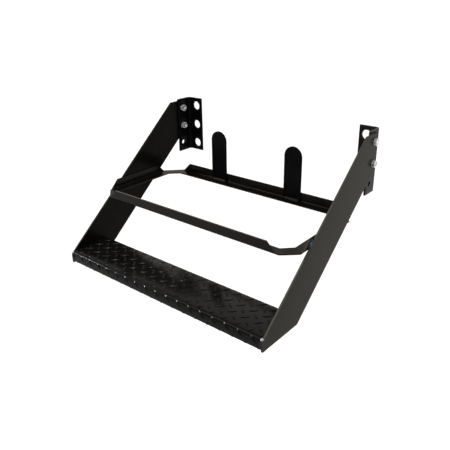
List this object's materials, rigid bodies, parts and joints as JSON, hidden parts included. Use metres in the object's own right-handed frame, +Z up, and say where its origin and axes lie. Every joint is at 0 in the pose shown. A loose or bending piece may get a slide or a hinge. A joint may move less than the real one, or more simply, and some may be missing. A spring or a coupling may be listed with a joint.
{
  "type": "tailgate step",
  "caption": "Bolt-on vehicle step: raised-pattern lower tread and an open folded tray between two sloping side plates, hung from drilled mounting angles.",
  "frame": {"origin": "midway between the two mounting angles, on the plane of their back faces, at the height of the middle large holes", "axes": "+Z up, +Y back towards the vehicle, so the step reaches out along -Y; +X to the right of someone facing the vehicle"},
  "size_m": [0.6238, 0.4578, 0.3554],
  "materials": {
    "plate_paint": "satin black powder coat over steel",
    "tread_paint": "satin black coat over raised-pattern plate",
    "tray_paint": "satin black powder coat over steel",
    "angle_paint": "satin black powder coat over steel",
    "upright_paint": "satin black powder coat over steel",
    "weld_paint": "semi-gloss black coat over weld bead",
    "zinc_plate": "bright zinc plate"
  },
  "bodies": {
    "root": {"lower_tread": "tread_paint", "tray_frame": "tray_paint", "left_side_plate": "plate_paint", "left_mount_angle": "angle_paint", "left_upright": "upright_paint", "left_upright_weld": "weld_paint", "left_tread_weld": "weld_paint", "left_tread_front_weld": "weld_paint", "left_tray_front_weld": "weld_paint", "left_tray_rear_weld": "weld_paint", "left_lower_bolt": "zinc_plate", "left_lower_nut": "zinc_plate", "left_upper_bolt": "zinc_plate", "left_upper_nut": "zinc_plate", "right_side_plate": "plate_paint", "right_mount_angle": "angle_paint", "right_upright": "upright_paint", "right_upright_weld": "weld_paint", "right_tread_weld": "weld_paint", "right_tread_front_weld": "weld_paint", "right_tray_front_weld": "weld_paint", "right_tray_rear_weld": "weld_paint", "right_lower_bolt": "zinc_plate", "right_lower_nut": "zinc_plate", "right_upper_bolt": "zinc_plate", "right_upper_nut": "zinc_plate"}
  },
  "joints": []
}
